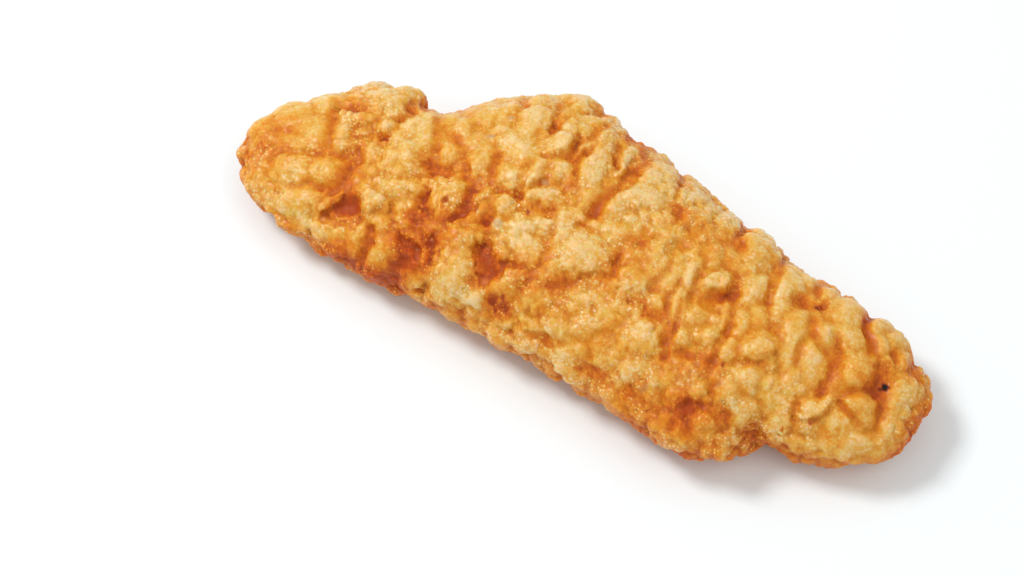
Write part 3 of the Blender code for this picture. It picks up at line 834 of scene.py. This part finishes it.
def store(piece, name, values):
    """A number for each vertex, which a material can read by this name."""
    layer = piece.data.attributes.new(name, "FLOAT", "POINT")
    layer.data.foreach_set("value", np.ascontiguousarray(values, dtype=np.float32))


points = without_pole_copies(surface) - middle
crust = new_piece("crust", points, sheet_faces(RINGS, SIDES))
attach(crust, "root")
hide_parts("tender")
print("crust:", len(crust.data.vertices), "vertices,", len(crust.data.polygons), "faces")

# %% [markdown]
# ## How brown each place is, and where shade is painted
#
# Browning follows hollowness, the oil in the creases, and slow random changes. Much of what follows
# hollowness, creases, the places between lumps and the low and steep sides is painted shade, and the
# pale lump tops are partly painted highlight. Where this tender is browner or paler than that gives,
# a soft oval corrects it, and some of the ovals paint shade. Burnt crumbs and grey-brown grains of
# spice are small ovals of their own, and one speck paints the shade in a knob's hole. All are stored
# on the mesh, where the material can read them.

# %% Browning and painted shade
# x, y, half length along x, half width, how much browner (below 0 for paler)
# Some ovals are painted shade: those along the near rim at the left, the one in the pit at -41.2, -4.6,
# and those at 24.4, -0.4 and 26, -21 under a flake and a lump.
BROWNING_AND_SHADE_ZONES = (
    (-59, 3, 5, 6, 0.20),
    (-57, -1, 4.5, 4, 0.10),
    (-56, 14, 8, 5, -0.12),
    (-48, -11.2, 8, 1.2, 0.34),
    (-47.2, 0.8, 4.5, 4, 0.09),
    (-45, 13, 4, 3, 0.10),
    (-45, -8.3, 5, 1.6, -0.14),
    (-43.4, 1, 2.6, 5, 0.10),
    (-41.2, -4.6, 2.6, 1.6, 0.26),
    (-38.6, -7.9, 2.6, 1.6, -0.12),
    (-37.4, -11.2, 4, 1.2, 0.24),
    (-35.6, 21.6, 1.8, 1.2, 0.40),
    (-35.5, 11.5, 4, 4, -0.09),
    (-35, -13.2, 10, 1.8, 0.40),
    (-34.9, -4, 4, 3.5, -0.09),
    (-32.7, -9.6, 2, 1.8, -0.08),
    (-31, -8, 8, 5, 0.08),
    (-29.2, -1.6, 2, 2.6, 0.12),
    (-29, -6, 5, 4, 0.10),
    (-28.2, -7.9, 2.6, 1.4, 0.25),
    (-27, -10.6, 3, 1.8, 0.18),
    (-27, -8.5, 6, 4.5, 0.14),
    (-26, -3, 4, 3, 0.12),
    (-25.6, -9.6, 1.6, 1.4, 0.12),
    (-23, -8, 4, 4, 0.10),
    (-21.6, 1.4, 1.3, 2.6, 0.18),
    (-21, 18, 8, 9, -0.02),
    (-20.5, -2, 4, 5, 0.10),
    (-16, 17, 4, 4, -0.10),
    (-13.4, -8.6, 3, 4, 0.22),
    (-13.4, -5.5, 4, 4, 0.07),
    (-10.7, 15.1, 4, 4, -0.05),
    (-10, -0.4, 4, 4, -0.14),
    (-10, -13.2, 3, 2, 0.26),
    (-8.2, 16.5, 0.9, 2.4, 0.22),
    (-7, 28.2, 2.4, 1.8, 0.30),
    (-5, -8, 6, 5, 0.15),
    (-3.8, -3, 4, 4, -0.05),
    (-2, 8, 6, 3, 0.08),
    (-1, 3, 4, 4, -0.04),
    (-0.9, -10.5, 4, 4, 0.07),
    (-0.8, 23.4, 1, 2, 0.25),
    (0, -3, 6, 4, -0.03),
    (0.4, 26.4, 3, 1.8, 0.15),
    (1.9, 9.3, 4, 4, 0.03),
    (2, 25, 4, 3, 0.20),
    (2.6, 22.4, 1, 1.8, 0.20),
    (4, -13, 6, 4, 0.11),
    (8, 13, 6, 6, -0.03),
    (8.4, -7.6, 4, 4, 0.03),
    (9, -1, 3.5, 5, 0.16),
    (10.7, -13.7, 4, 4, 0.07),
    (12.4, 11.7, 1, 1, 0.20),
    (17, -21, 4, 2.5, 0.22),
    (17.6, 9.5, 5, 4, 0.17),
    (18.8, -11, 1.2, 3, 0.08),
    (18.9, -7, 0.9, 3.4, 0.12),
    (21, 1, 4, 4, -0.07),
    (23.4, 8, 4.5, 4, 0.09),
    (24.4, -0.4, 2.2, 1.2, 0.04),
    (24.6, -21.4, 1.6, 1.4, 0.08),
    (25, -15.5, 7, 3.5, 0.15),
    (26, -21, 6, 3, 0.28),
    (28.7, -5, 4, 6, -0.06),
    (30, 4, 5, 4, -0.08),
    (31.6, -23.8, 1, 1.8, 0.25),
    (34.6, 7, 5, 5, -0.06),
    (36.8, 3.8, 1.2, 1.4, 0.14),
    (38.5, -19.6, 2.6, 1.4, 0.30),
    (45.2, -4, 1.2, 4, 0.06),
    (50.6, -6.4, 1.4, 1.2, 0.06),
    (51.5, -5, 6, 6, 0.07),
    (52.3, -6.6, 2.2, 0.9, 0.18),
    (52.6, -3, 1.6, 2.6, 0.08),
    (53, -15, 6, 4, -0.06),
    (57, -12, 6, 6, 0.06),
    (57.4, 1.2, 1.4, 1.8, 0.12),
    (61.5, -8, 2, 8, 0.30),
)

# x, y, half length, half width, turn in degrees, strength
BURNT_AND_SHADE_SPECKS = (
    (-28, 1, 0.35, 0.3, 0, 0.6),
    # Painted shade in the hole of the knob.
    (-24.6, 0.3, 0.3, 0.6, 0, 0.45),
    (-11.4, -12.6, 0.6, 0.5, 0, 0.5),
    (-11, 2.3, 0.35, 0.3, 0, 0.6),
    (-10.6, -13.6, 0.4, 0.3, 0, 0.45),
    (-9.8, -12, 0.5, 0.4, 30, 0.55),
    (-9, -13.2, 0.4, 0.5, 0, 0.5),
    (13.3, -8.3, 0.4, 0.3, 0, 0.55),
    (28.4, -11.4, 0.4, 0.3, 20, 0.55),
    (39.7, 4.5, 0.6, 0.32, 40, 0.85),
    (40.8, -16.7, 0.5, 0.2, 60, 0.7),
    (44.7, -14.4, 0.3, 0.25, 0, 0.6),
    (53.6, -4.7, 0.35, 0.3, 0, 0.9),
    (54.3, -4.1, 0.8, 0.6, 20, 1),
)
SPICE_SPECKS = (
    (-22.2, 14.2, 0.8, 0.4, 0, 0.5),
    (-20.2, 19, 0.5, 0.4, 0, 0.5),
    (-14.8, -1, 0.9, 0.8, 0, 0.5),
    (-10.2, 8.6, 0.7, 0.6, 0, 0.5),
    (17.5, -18.5, 0.8, 0.6, 0, 0.3),
    (24.5, -12.7, 0.7, 0.5, 0, 0.2),
    (29, -14.5, 0.6, 0.5, 0, 0.2),
)

# how much each cause browns the crust, where 0 is pale gold and 1 is red-brown; what hollows,
# creases, gaps between lumps and low and steep sides add is partly painted shade, and paler lump tops
# are partly painted highlight
EVEN_BROWNING = 0.272
NEAR_WEIGHT, MID_WEIGHT, WIDE_WEIGHT = 0.4, 0.19, 0.04
PALEST_NEAR, PALEST_MID = -0.12, -0.06
GROOVE_WEIGHT, OIL_AND_SHADE_WEIGHT, BETWEEN_WEIGHT = 0.05, 0.19, 0.16
PATCHY_WEIGHT, SOAKED_WEIGHT, LOW_WEIGHT, STEEP_WEIGHT = 0.08, 0.16, 0.36, 0.16


def specks(points, table):
    """Small spots with uneven edges on the shown side, from 0 to 1."""
    uneven = warped(points, 0.9, 0.25, 341)
    strongest = np.zeros(points.shape[:-1])
    for x, y, along, across, turn, strength in table:
        a, b = in_the_turn(uneven - np.array((x, y, 0.0)), turn)
        away = (a / along) ** 2 + (b / across) ** 2
        strongest = np.maximum(strongest, strength * smooth_step(1.6 - away, 0.0, 1.0))
    return strongest * smooth_step(points[..., 2], 5.0, 7.0)


def browning_and_shade_of(points, masks, near, mid, wide):
    """0 on the palest lumps, 1 in the darkest pits: a weighted sum of what browns the crust, and of
    painted shade in hollows, creases, between lumps and on low and steep sides, with painted highlight
    on lump tops.
    """
    wavering = warped(points, 5.0, 1.5, 321)
    patchy = smooth_noise(points, 14.0, 301) + 0.8 * smooth_noise(points, 3.6, 311)
    soaked = smooth_step(smooth_noise(wavering, 3.0, 331), 0.3, 0.8)
    # Darker towards the bottom: painted shade.
    low_down = 1 - smooth_step(points[..., 2], 3.0, 12.5)
    # Darker in hollows and paler on lump tops: partly painted shade and painted highlight.
    hollow = np.maximum(NEAR_WEIGHT * near, PALEST_NEAR) + np.maximum(MID_WEIGHT * mid, PALEST_MID)
    hollow = hollow + WIDE_WEIGHT * np.clip(wide, -1.5, 1.5)
    # The grooves and the band along them: partly the oil's orange, partly painted shade in the creases.
    creases = GROOVE_WEIGHT * masks["grooves"] + OIL_AND_SHADE_WEIGHT * masks["oil_and_shade_band"]
    # Darker between lumps: painted shade.
    between = BETWEEN_WEIGHT * np.maximum(0.7 - masks["nearness"], 0) * masks["cover"]
    slow = PATCHY_WEIGHT * patchy + SOAKED_WEIGHT * soaked + LOW_WEIGHT * low_down
    # Darker on the flanks that face sideways: painted shade. Some of the ovals are painted shade too.
    slow = slow + STEEP_WEIGHT * (1 - masks["cover"]) + ovals(wavering, BROWNING_AND_SHADE_ZONES)
    return EVEN_BROWNING + hollow + creases + between + slow


# Browning with its painted shade and highlight, stored for the material.
browning_and_shade = browning_and_shade_of(surface, masks, near_hollow, mid_hollow, wide_hollow)
store(crust, "browning_and_shade", without_pole_copies(browning_and_shade))
store(crust, "calm", without_pole_copies(masks["calm"]))
store(crust, "burnt_and_shade", without_pole_copies(specks(surface, BURNT_AND_SHADE_SPECKS)))
store(crust, "spice", without_pole_copies(specks(surface, SPICE_SPECKS)))
print("browning:", np.round(np.percentile(browning_and_shade, (2, 10, 25, 50, 75, 90, 98)), 3))

# %% [markdown]
# ## The crust's finish
#
# Fried batter lets light in for a millimetre or two and scatters it back warm, so its shadows glow
# orange. Over it lies a thin film of oil that breaks into tiny glints on the grains of flour. An
# image could be wrapped round it, but would stretch on the flanks. So the material is one Principled
# shader that works in the object's own space.

# %% Node helpers
def new_material(name):
    """A material with its Principled shader and node tree."""
    material = bpy.data.materials.new(name)
    material.use_nodes = True
    return material, material.node_tree, material.node_tree.nodes["Principled BSDF"]


def put(tree, socket, value):
    """Give a socket a fixed value or another node's output."""
    if isinstance(value, bpy.types.NodeSocket):
        tree.links.new(value, socket)
    else:
        socket.default_value = value


def add_node(tree, kind, **settings):
    """A shader node. Each setting is a property, or what goes into the input of that name."""
    node = tree.nodes.new("ShaderNode" + kind)
    for name, value in settings.items():
        if hasattr(node, name):
            setattr(node, name, value)
        else:
            put(tree, node.inputs[name.replace("_", " ").title()], value)
    return node


def noise(tree, place, scale, detail=1.0, roughness=0.5):
    """Soft random values about 0.5. The scale is in cells for each metre."""
    node = add_node(tree, "TexNoise", vector=place, scale=scale, detail=detail, roughness=roughness)
    return node.outputs["Fac"]


def cells(tree, place, scale, output):
    """Random cells: the distance from the nearest middle, or a colour for each cell."""
    return add_node(tree, "TexVoronoi", vector=place, scale=scale).outputs[output]


def attribute(tree, name):
    """The number that the mesh carries under this name."""
    return add_node(tree, "Attribute", attribute_name=name).outputs["Fac"]


def mapped(tree, value, from_min, from_max, to_min=0.0, to_max=1.0):
    """A value carried from one range to another, and kept inside it."""
    node = add_node(
        tree, "MapRange", value=value, from_min=from_min, from_max=from_max, to_min=to_min, to_max=to_max
    )
    return node.outputs["Result"]


def at_least(tree, amount, least):
    """An amount from 0 to 1, squeezed between a least value and 1."""
    return mapped(tree, amount, 0.0, 1.0, least, 1.0)


def blended(tree, kind, operation, *values):
    """A math node on numbers, or on vectors."""
    node = add_node(tree, kind, operation=operation)
    for socket, value in zip(node.inputs, values):
        put(tree, socket, value)
    return node.outputs[0]


def bumped(tree, height, depth, strength):
    """Normals tilted by a height map of the given depth in metres."""
    node = add_node(tree, "Bump", distance=depth, strength=strength)
    put(tree, node.inputs["Height"], height)
    return node.outputs["Normal"]


MIX_FIRST, MIX_SECOND, MIX_RESULT = 6, 7, 2


def painted(tree, colour, where, paint):
    """A colour that gives way to a fixed paint where a mask says so."""
    node = add_node(tree, "Mix", data_type="RGBA", factor=where)
    put(tree, node.inputs[MIX_FIRST], colour)
    put(tree, node.inputs[MIX_SECOND], paint)
    return node.outputs[MIX_RESULT]


def colour_ramp(tree, amount, stops):
    """A ramp from a list of place and linear colour."""
    ramp = add_node(tree, "ValToRGB", fac=amount)
    elements = ramp.color_ramp.elements
    while len(elements) < len(stops):
        elements.new(0.5)
    for element, (place, colour) in zip(elements, stops):
        element.position = place
        element.color = (*colour, 1.0)
    return ramp.outputs["Color"]


# %% [markdown]
# ## Colour, grain and oil
#
# Two sizes of speckle, and pale dots, partly grains of flour that stand out of the oil and partly
# painted glints, break up the browning and painted shade before a ramp turns it into colour. The oil
# is a clear coat with normals of its own: soft ripples, and facets of a fifth of a millimetre that
# tip it every way, of which a few glint. One noise could do it all, but then speckle, dots and
# glints would sit in the same places.

# %% Crust material
# place on the ramp, linear colour
BROWNING_STOPS = (
    (0.00, (0.780, 0.562, 0.250)),
    (0.22, (0.745, 0.411, 0.064)),
    (0.45, (0.690, 0.257, 0.013)),
    (0.68, (0.610, 0.155, 0.010)),
    (1.00, (0.440, 0.070, 0.009)),
)
SPICE_COLOUR = (0.46, 0.30, 0.17, 1.0)
# Char of burnt crumbs, also painting the shade in a knob's hole.
CHAR_AND_SHADE_COLOUR = (0.02, 0.010, 0.007, 1.0)

# cells for each metre, how far it shifts the browning
SPECKLES = ((700.0, 0.40), (2100.0, 0.60))
PATCH_SCALE, FLOUR_AND_GLINT_DOT_SCALE, GRAIN_SCALE = 300.0, 1500.0, 2600.0
RIPPLE_SCALE, FACET_SCALE = 1700.0, 4800.0
# in cell widths
FLOUR_AND_GLINT_DOT_EDGE, FLOUR_AND_GLINT_DOT_CORE = 0.42, 0.14
FLOUR_AND_GLINT_PALENESS = 0.58
# in metres
GRAIN_DEPTH, RIPPLE_DEPTH = 0.0002, 0.0004
FACET_TILT = 0.9


def grainy_patches(tree, place):
    """Slow noise, and a mask made from it: 1 where the crust is grainy, little where it is calm."""
    patches = noise(tree, place, PATCH_SCALE, 2.0, 0.6)
    calm = blended(tree, "Math", "MULTIPLY", attribute(tree, "calm"), 0.8)
    restless = blended(tree, "Math", "SUBTRACT", 1.0, calm)
    return patches, blended(tree, "Math", "MULTIPLY", mapped(tree, patches, 0.42, 0.6), restless)


def crust_colour(tree, place, brown_and_shade, grainy):
    """The browning and painted shade, speckled, dotted with flour grains and painted glints, as colour,
    with grains of spice and burnt crumbs on it, and painted shade in a knob's hole.
    """
    for scale, amount in SPECKLES:
        speckle = blended(tree, "Math", "SUBTRACT", noise(tree, place, scale, 2.0, 0.6), 0.5)
        brown_and_shade = blended(tree, "Math", "ADD", brown_and_shade, blended(tree, "Math", "MULTIPLY", speckle, amount))
    # Pale dots: partly flour grains, partly painted glints.
    flour_and_glint_dots = mapped(tree, cells(tree, place, FLOUR_AND_GLINT_DOT_SCALE, "Distance"), FLOUR_AND_GLINT_DOT_EDGE, FLOUR_AND_GLINT_DOT_CORE, 0.0, FLOUR_AND_GLINT_PALENESS)
    flour_and_glint_dots = blended(tree, "Math", "MULTIPLY", flour_and_glint_dots, at_least(tree, grainy, 0.1))
    brown_and_shade = blended(tree, "Math", "SUBTRACT", brown_and_shade, flour_and_glint_dots)
    # Burnt crumbs, and painted shade in a knob's hole.
    burnt_and_shade = attribute(tree, "burnt_and_shade")
    brown_and_shade = blended(tree, "Math", "ADD", brown_and_shade, blended(tree, "Math", "MULTIPLY", burnt_and_shade, 0.9))
    colour = colour_ramp(tree, brown_and_shade, BROWNING_STOPS)
    colour = painted(tree, colour, attribute(tree, "spice"), SPICE_COLOUR)
    return painted(tree, colour, blended(tree, "Math", "POWER", burnt_and_shade, 2.5), CHAR_AND_SHADE_COLOUR)


def grain_normals(tree, place, grainy):
    """Normals of the batter itself, with a grain that is strong only in patches."""
    return bumped(tree, noise(tree, place, GRAIN_SCALE), GRAIN_DEPTH, at_least(tree, grainy, 0.15))


def oil_normals(tree, place, grainy):
    """Normals of the film of oil: ripples, tipped further by a random facet in each small cell."""
    ripples = bumped(tree, noise(tree, place, RIPPLE_SCALE), RIPPLE_DEPTH, at_least(tree, grainy, 0.35))
    facets = cells(tree, place, FACET_SCALE, "Color")
    tilt = blended(tree, "VectorMath", "SUBTRACT", facets, (0.5, 0.5, 0.5))
    amount = blended(tree, "Math", "MULTIPLY", grainy, FACET_TILT)
    tilt = blended(tree, "VectorMath", "MULTIPLY", tilt, amount)
    return blended(tree, "VectorMath", "NORMALIZE", blended(tree, "VectorMath", "ADD", ripples, tilt))


def fried_crust():
    """The material of the whole tender. The oil is thickest on pale, grainy places."""
    material, tree, shader = new_material("fried_crust")
    place = add_node(tree, "TexCoord").outputs["Object"]
    # The browning with its painted shade and highlight, read from the mesh.
    brown_and_shade = attribute(tree, "browning_and_shade")
    patches, grainy = grainy_patches(tree, place)
    pale = mapped(tree, brown_and_shade, 0.3, 0.7, 1.0, 0.2)
    finish = {
        "Base Color": crust_colour(tree, place, brown_and_shade, grainy),
        "Normal": grain_normals(tree, place, grainy),
        "Coat Normal": oil_normals(tree, place, grainy),
        "Roughness": mapped(tree, patches, 0.3, 0.7, 0.36, 0.55),
        "Coat Weight": blended(tree, "Math", "MULTIPLY", at_least(tree, grainy, 0.35), pale),
        "Coat Roughness": 0.08,
        "Subsurface Weight": 0.8,
        "Subsurface Radius": (1.0, 0.22, 0.05),
        "Subsurface Scale": 0.0018,
        "IOR": 1.4,
        "Specular IOR Level": 0.15,
    }
    for name, value in finish.items():
        put(tree, shader.inputs[name], value)
    shader.subsurface_method = "RANDOM_WALK"
    return material


crust.data.materials.append(fried_crust())
print("materials:", [material.name for material in bpy.data.materials])

# %% [markdown]
# ## Floor, light and camera
#
# The tender lies on a white surface under studio light. A lamp a quarter of a metre wide, a metre
# away on the left, gives each lump a bright side and an orange side. A weaker and larger one on the
# right and white surroundings fill the shadows. The floor is bright enough to wash out to white,
# except where the tender keeps the light off it. A picture of a studio could light it too, but lamps
# are easier to aim. The camera looks down steeply through a long lens, so that near and far lumps
# come out at nearly the same size.

# %% Floor and light
FLOOR_HALF_WIDTH = 3000.0
FLOOR_WHITE = (0.90, 0.955, 0.97, 1.0)
FLOOR_ROUGHNESS = 0.6
SURROUNDINGS = 0.62

floor_corners = FLOOR_HALF_WIDTH * np.array(((-1, -1, 0), (1, -1, 0), (1, 1, 0), (-1, 1, 0)))
floor = new_piece("floor", floor_corners, [(0, 1, 2, 3)])
white, _, shader = new_material("white_table")
shader.inputs["Base Color"].default_value = FLOOR_WHITE
shader.inputs["Roughness"].default_value = FLOOR_ROUGHNESS
floor.data.materials.append(white)

world = bpy.data.worlds.new("studio")
world.use_nodes = True
world.node_tree.nodes["Background"].inputs["Color"].default_value = (1.0, 1.0, 1.0, 1.0)
world.node_tree.nodes["Background"].inputs["Strength"].default_value = SURROUNDINGS
bpy.context.scene.world = world


def direction_angles(aim):
    """Turn that points an object's -Z along a direction, with its X kept level."""
    aim = aim / np.linalg.norm(aim)
    tilt = math.acos(-aim[2])
    turn = math.atan2(-aim[0], aim[1])
    return (tilt, 0.0, turn)


def soft_lamp(name, place, size, power):
    """A square area lamp, turned towards the tender. Place and size are in metres, power in watts."""
    lamp = bpy.data.lights.new(name, "AREA")
    lamp.size = size
    lamp.energy = power
    holder = bpy.data.objects.new(name, lamp)
    holder.location = place
    holder.rotation_euler = direction_angles(-np.array(place))
    bpy.context.scene.collection.objects.link(holder)
    return holder


soft_lamp("key", (-0.57, 0.02, 0.8), 0.26, 5.0)
soft_lamp("fill", (0.5, -0.1, 0.8), 0.6, 1.2)
print("lamps:", [lamp.name for lamp in bpy.data.lights])

# %% Camera
AZIMUTH, ELEVATION = 21.0, 62.0
FOCAL_LENGTH, SENSOR = 100.0, 36.0
IMAGE_WIDTH, IMAGE_HEIGHT = 1024, 576
DISTANCE = 0.4807
AIM_HEIGHT = 0.009
AIM = (-MIDDLE_X * MM, -MIDDLE_Y * MM, AIM_HEIGHT)
AIM_AT_PIXEL = (582.5, 275.5)


def aimed_camera():
    """A camera that sees the aim point at its pixel. It looks past the point by that offset."""
    a, e = math.radians(AZIMUTH), math.radians(ELEVATION)
    back = np.array((math.sin(a) * math.cos(e), -math.cos(a) * math.cos(e), math.sin(e)))
    right = np.array((math.cos(a), math.sin(a), 0.0))
    up = np.cross(back, right)
    pixels = FOCAL_LENGTH / SENSOR * IMAGE_WIDTH
    beside = (AIM_AT_PIXEL[0] - IMAGE_WIDTH / 2) * DISTANCE / pixels
    above = (AIM_AT_PIXEL[1] - IMAGE_HEIGHT / 2) * DISTANCE / pixels
    looked_at = np.array(AIM) - right * beside + up * above
    lens = bpy.data.cameras.new("camera")
    lens.lens = FOCAL_LENGTH
    lens.sensor_width = SENSOR
    camera = bpy.data.objects.new("camera", lens)
    camera.location = looked_at + back * DISTANCE
    camera.rotation_euler = direction_angles(-back)
    bpy.context.scene.collection.objects.link(camera)
    return camera


camera = aimed_camera()
bpy.context.scene.camera = camera
bpy.context.scene.view_settings.view_transform = "Standard"
print("camera at", np.round(camera.location, 4))
